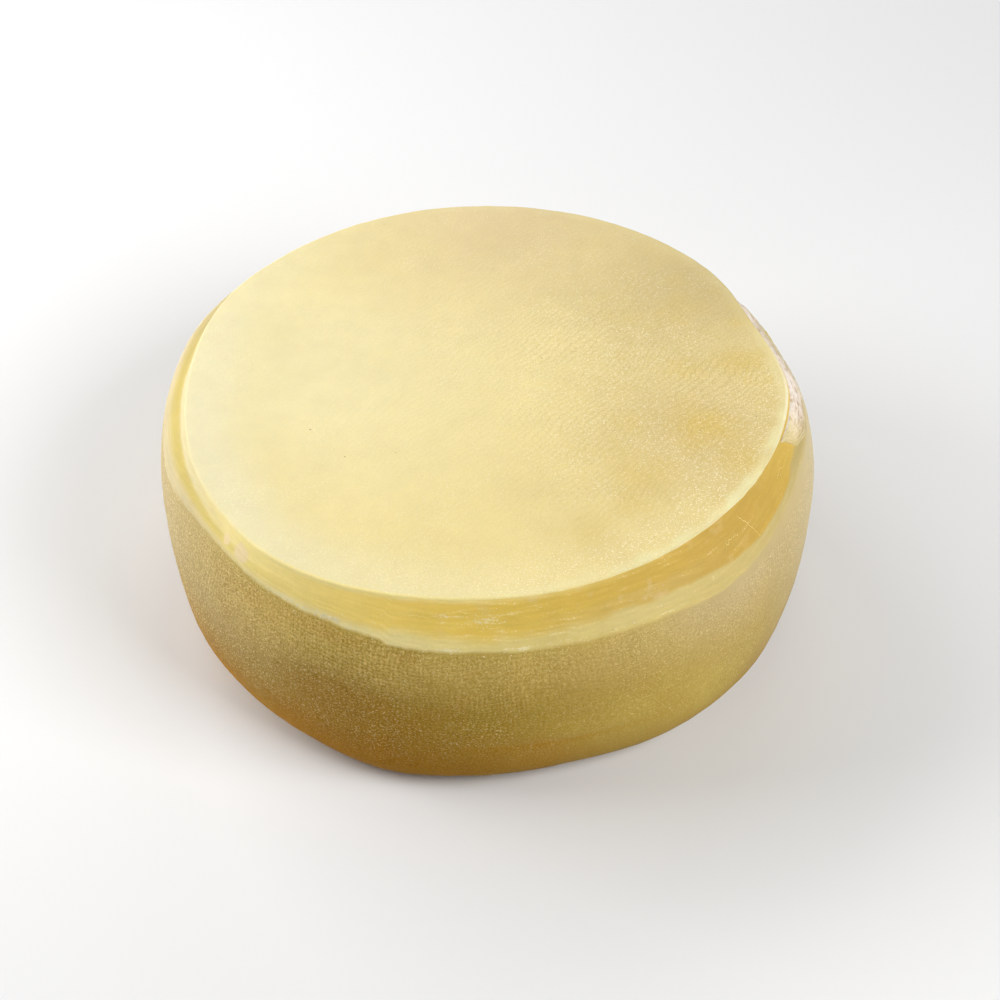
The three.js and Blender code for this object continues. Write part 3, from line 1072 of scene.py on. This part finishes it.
def cheese_material():
    """Pale cheese: fine grain and cloth imprint over the painted tones, whitish bloom with painted glints,
    painted shade in the weave's gaps and pits, and a smooth cut.
    """
    graph = Graph("cheese_skin")
    place = graph.place
    tone = graph.attribute("tone", "Color")
    labels = ("on_top", "on_band", "across", "cloth", "grit", "bloom_and_glints", "chalk")
    on_top, on_band, across, cloth, grit, bloom_and_glints, chalk = (graph.attribute(label, "Fac") for label in labels)
    parts = graph.split(place)

    weave = cloth_pattern(graph, on_top)
    mottle = graph.noise(place, 11, 3, 0.6)
    cloud = graph.noise(place, 38, 2, 0.5)
    grain = graph.noise(graph.scaled(place, graph.blend(on_top, 1.15, 1.3)), 1, 2, 0.7)
    stretch = graph.blend(on_top, 0.7, 1)
    strokes = graph.vector("MULTIPLY", place, graph.join(stretch, stretch, 1))
    fleck = graph.noise(strokes, 0.62, 1, 0.6)
    along = graph.join(graph.product(parts[0], 0.09), graph.product(parts[1], 0.09), across)
    streak = graph.noise(along, 1.3, 2, 0.6)

    slow = graph.total(
        1,
        graph.swing(mottle, 0.5, graph.blend(on_band, 0.12, 0.14)),
        graph.swing(cloud, 0.5, 0.1),
        graph.product(graph.swing(streak, 0.5, 0.22), on_band),
    )
    fine = graph.total(
        graph.swing(grain, 0.5, graph.product(grit, 1.25)),
        graph.product(graph.swing(weave, 0.35, graph.blend(on_top, 0.5, 0.12)), cloth),
    )
    green = graph.node("SeparateColor", {0: tone}).outputs["Green"]
    # Painted glints, partly: the grain and raised threads lighten towards grey, besides the rind's own fine
    # grain.
    whitish = graph.mix(GRAIN_WHITENESS, tone, graph.join(green, green, green))
    colour = graph.vector("ADD", graph.scaled(tone, slow), graph.scaled(whitish, fine))
    gaps = graph.product(graph.step(weave, 0.3, 0.05), cloth, graph.blend(on_top, 0.5, 0.16))
    colour = graph.mix(gaps, colour, graph.vector("MULTIPLY", colour, GAP_SHADE))
    pits = graph.product(graph.step(graph.noise(place, 1.2, 1, 0.5), 0.34, 0.26), grit)
    colour = graph.mix(pits, colour, graph.vector("MULTIPLY", colour, PIT_SHADE))
    # Painted highlight: whitish flecks stand in for glints, on top of the rind's real whitish bloom.
    sparkle = graph.product(graph.step(fleck, 0.59, 0.67), bloom_and_glints)
    colour = graph.mix(sparkle, colour, graph.mix(on_top, BLOOM_AND_GLINT, TOP_GLINT))
    crumbling = graph.total(graph.product(streak, 0.6), graph.product(fleck, 0.4), graph.product(chalk, 0.42))
    colour = graph.mix(graph.product(graph.step(crumbling, 0.64, 0.82), on_band, 0.75), colour, CHALK)

    relief = graph.total(
        graph.product(weave, cloth, graph.blend(on_top, 0.26, 0.08)),
        graph.product(grain, grit, 0.4),
        graph.product(streak, on_band, 0.06),
    )
    bump = graph.node("Bump", {"Distance": MM, "Height": relief}).outputs[0]
    rough = graph.total(graph.blend(on_band, 0.52, 0.4), graph.swing(grain, 0.5, 0.3))
    return graph.finish({
        "Base Color": colour,
        "Roughness": rough,
        "Subsurface Weight": 0.15,
        "Subsurface Radius": (1, 0.55, 0.2),
        "Subsurface Scale": 0.004,
        "Specular IOR Level": graph.blend(on_band, 0.05, 0.14),
        "Normal": bump,
    })


def rind_material():
    """Dry crinkled rind: its painted tones, a fine grain and a soft gloss."""
    graph = Graph("dry_rind")
    tone = graph.attribute("tone", "Color")
    grain = graph.noise(graph.place, 0.9, 2, 0.6)
    mottle = graph.noise(graph.place, 6, 3, 0.6)
    light = graph.total(1, graph.swing(grain, 0.5, 0.35), graph.swing(mottle, 0.5, 0.3))
    bump = graph.node("Bump", {"Strength": 0.8, "Distance": 0.25 * MM, "Height": grain}).outputs[0]
    return graph.finish({
        "Base Color": graph.scaled(tone, light),
        "Roughness": graph.math("MULTIPLY_ADD", mottle, 0.3, 0.25),
        "Subsurface Weight": 0.15,
        "Subsurface Radius": (1, 0.6, 0.3),
        "Subsurface Scale": 0.003,
        "Normal": bump,
    })


def crumb_material():
    """Dry crumbs in their painted tones."""
    graph = Graph("dry_crumb")
    grain = graph.noise(graph.place, 0.5, 1, 0.5)
    light = graph.total(1, graph.swing(grain, 0.5, 0.25))
    return graph.finish({
        "Base Color": graph.scaled(graph.attribute("tone", "Color"), light),
        "Roughness": 0.6,
        "Subsurface Weight": 0.2,
        "Subsurface Radius": (1, 0.7, 0.4),
        "Subsurface Scale": 0.001,
    })


# Floor: reach and drop in millimetres, and where its paint fades into the backdrop in metres
FLOOR_REACH = 60000
FLOOR_DROP = 0.5
FLOOR_PAINT = (0.8, 0.8, 0.8)
FLOOR_FADE = (0.35, 1.1)
BACKDROP_GREY = 0.82


def floor_material():
    """Plain pale floor that fades into an even pale backdrop."""
    graph = Graph("pale_floor")
    reach = graph.node("VectorMath", {0: graph.place}, operation="LENGTH").outputs["Value"]
    far = graph.step(reach, *FLOOR_FADE)
    return graph.finish({
        "Base Color": graph.mix(far, FLOOR_PAINT, (0, 0, 0)),
        "Roughness": 0.9,
        "Emission Strength": graph.product(far, BACKDROP_GREY),
        "Specular IOR Level": 0,
    })


def make_floor():
    """A wide floor just under the wheel."""
    signs = ((-1, -1), (1, -1), (1, 1), (-1, 1))
    corners = np.array([(x * FLOOR_REACH, y * FLOOR_REACH, -FLOOR_DROP) for x, y in signs])
    floor = make_object("floor", corners, [np.array(((0, 1, 2, 3),))], np.ones((4, 3)), {})
    floor.data.materials.append(floor_material())


# Camera, solved from the outline of the wheel and of its top face; distances in millimetres
CAMERA_DISTANCE = 980
CAMERA_ELEVATION = 43.5
CAMERA_SIDE = 6.5
CAMERA_AIM_HEIGHT = 36.6
FIELD_OF_VIEW = 27


def make_camera(middle):
    """The camera looks along +Y and down at the wheel."""
    elevation = math.radians(CAMERA_ELEVATION)
    data = bpy.data.cameras.new("camera")
    data.angle = math.radians(FIELD_OF_VIEW)
    camera = add_object("camera", data)
    camera.location = (
        (CAMERA_SIDE - middle[0]) * MM,
        (-CAMERA_DISTANCE * math.cos(elevation) - middle[1]) * MM,
        (CAMERA_AIM_HEIGHT + CAMERA_DISTANCE * math.sin(elevation)) * MM,
    )
    camera.rotation_euler = (math.pi / 2 - elevation, 0, 0)
    bpy.context.scene.camera = camera


# White lights: place in metres, size in metres, power in watts
LIGHTS = {
    "left_box": ((-1.1, 0.1, 0.6), 0.8, 12.9),
    "back_left_box": ((-0.8, 0.9, 0.9), 0.9, 9.5),
    "back_box": ((0.2, 1.2, 0.7), 0.9, 3.9),
    "front_right_box": ((0.9, -0.6, 0.9), 0.8, 17),
}
WORLD_LIGHT = 0.03


def make_lights():
    """Large soft lights round the wheel, and a dim surround that looks pale."""
    for name, (place, size, power) in LIGHTS.items():
        data = bpy.data.lights.new(name, "AREA")
        data.size = size
        data.energy = power
        light = add_object(name, data)
        light.location = place
        aim = Vector((0, 0, WHEEL_HEIGHT * MM)) - Vector(place)
        light.rotation_euler = aim.to_track_quat("-Z", "Y").to_euler()
    world = bpy.data.worlds.new("surround")
    world.use_nodes = True
    tree = world.node_tree
    background = tree.nodes["Background"]
    background.inputs["Color"].default_value = (1, 1, 1, 1)
    rays = tree.nodes.new("ShaderNodeLightPath")
    strength = tree.nodes.new("ShaderNodeMapRange")
    strength.inputs["To Min"].default_value = WORLD_LIGHT
    strength.inputs["To Max"].default_value = BACKDROP_GREY
    tree.links.new(rays.outputs["Is Camera Ray"], strength.inputs["Value"])
    tree.links.new(strength.outputs["Result"], background.inputs["Strength"])
    bpy.context.scene.world = world


wheel_skin = Skin()
shape_skin(wheel_skin)
SKIN_MIDDLE = wheel_skin.centre()

wheel = make_wheel(wheel_skin)
wheel.data.materials.append(cheese_material())
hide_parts("cheese_wheel")
loose_rind = make_loose_rind(wheel_skin)
loose_rind.data.materials.append(rind_material())
crumbs = make_crumbs(wheel_skin, SKIN_MIDDLE)
crumbs.data.materials.append(crumb_material())
for piece in (wheel, loose_rind, crumbs):
    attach(piece, "root")

make_floor()
make_camera(SKIN_MIDDLE)
make_lights()
bpy.context.scene.view_settings.view_transform = "Standard"
bpy.context.scene.view_settings.look = "None"
